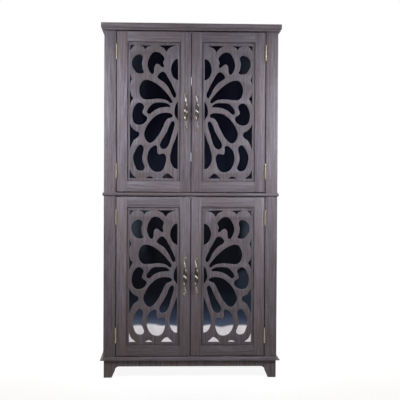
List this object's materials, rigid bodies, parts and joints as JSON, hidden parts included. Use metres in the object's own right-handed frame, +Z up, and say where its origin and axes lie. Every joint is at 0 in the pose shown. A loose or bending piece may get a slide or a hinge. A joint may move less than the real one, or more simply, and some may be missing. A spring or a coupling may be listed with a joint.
{
  "type": "tall display cabinet",
  "caption": "Tall weathered-wood cabinet with tiers of hinged doors in pierced fretwork over mirror, twisted brass pulls, a coved top and a bracket-foot plinth.",
  "frame": {"origin": "on the floor, below the middle of the cabinet's box", "axes": "+Z up, -Y out of the doors, +X to the right of someone facing the doors"},
  "size_m": [0.814, 0.4162, 1.6],
  "materials": {
    "wood": "weathered grey-brown stained grain, satin",
    "fretwork": "pierced panel in the same weathered grey-brown finish",
    "mirror": "silvered mirror glass bonded to a thin backing board",
    "brass": "antique brass, darkened in the hollows",
    "steel": "plain steel catch"
  },
  "bodies": {
    "carcass": {"back_panel": "wood", "bottom_board": "wood", "middle_board": "wood", "top_board": "wood", "lower_shelf": "wood", "upper_shelf": "wood", "plinth_front": "wood", "plinth_left": "wood", "plinth_right": "wood", "post_left": "wood", "post_right": "wood", "side_left": "wood", "side_right": "wood", "waist_bead": "wood", "lower_catch": "steel", "upper_catch": "steel", "lower_left_bottom_hinge_post_leaf": "brass", "lower_left_top_hinge_post_leaf": "brass", "lower_right_bottom_hinge_post_leaf": "brass", "lower_right_top_hinge_post_leaf": "brass", "upper_left_bottom_hinge_post_leaf": "brass", "upper_left_top_hinge_post_leaf": "brass", "upper_right_bottom_hinge_post_leaf": "brass", "upper_right_top_hinge_post_leaf": "brass"},
    "upper_left_door": {"upper_left_bottom_rail": "wood", "upper_left_top_rail": "wood", "upper_left_hinge_stile": "wood", "upper_left_meeting_stile": "wood", "upper_left_fretwork": "fretwork", "upper_left_mirror": "mirror", "upper_left_handle": "brass", "upper_left_bottom_hinge_door_leaf": "brass", "upper_left_top_hinge_door_leaf": "brass"},
    "upper_right_door": {"upper_right_bottom_rail": "wood", "upper_right_top_rail": "wood", "upper_right_hinge_stile": "wood", "upper_right_meeting_stile": "wood", "upper_right_fretwork": "fretwork", "upper_right_mirror": "mirror", "upper_right_handle": "brass", "upper_right_bottom_hinge_door_leaf": "brass", "upper_right_top_hinge_door_leaf": "brass"},
    "lower_left_door": {"lower_left_bottom_rail": "wood", "lower_left_top_rail": "wood", "lower_left_hinge_stile": "wood", "lower_left_meeting_stile": "wood", "lower_left_fretwork": "fretwork", "lower_left_mirror": "mirror", "lower_left_handle": "brass", "lower_left_bottom_hinge_door_leaf": "brass", "lower_left_top_hinge_door_leaf": "brass"},
    "lower_right_door": {"lower_right_bottom_rail": "wood", "lower_right_top_rail": "wood", "lower_right_hinge_stile": "wood", "lower_right_meeting_stile": "wood", "lower_right_fretwork": "fretwork", "lower_right_mirror": "mirror", "lower_right_handle": "brass", "lower_right_bottom_hinge_door_leaf": "brass", "lower_right_top_hinge_door_leaf": "brass"}
  },
  "joints": [
    {"name": "upper_left_swing", "type": "hinge", "parent": "carcass", "child": "upper_left_door", "pos_m": [-0.337, -0.18073, 0.842], "axis": [0, 0, -1], "range_deg": [0, 170]},
    {"name": "upper_right_swing", "type": "hinge", "parent": "carcass", "child": "upper_right_door", "pos_m": [0.337, -0.18073, 0.842], "axis": [0, 0, 1], "range_deg": [0, 170]},
    {"name": "lower_left_swing", "type": "hinge", "parent": "carcass", "child": "lower_left_door", "pos_m": [-0.337, -0.18073, 0.099], "axis": [0, 0, -1], "range_deg": [0, 170]},
    {"name": "lower_right_swing", "type": "hinge", "parent": "carcass", "child": "lower_right_door", "pos_m": [0.337, -0.18073, 0.099], "axis": [0, 0, 1], "range_deg": [0, 170]}
  ]
}
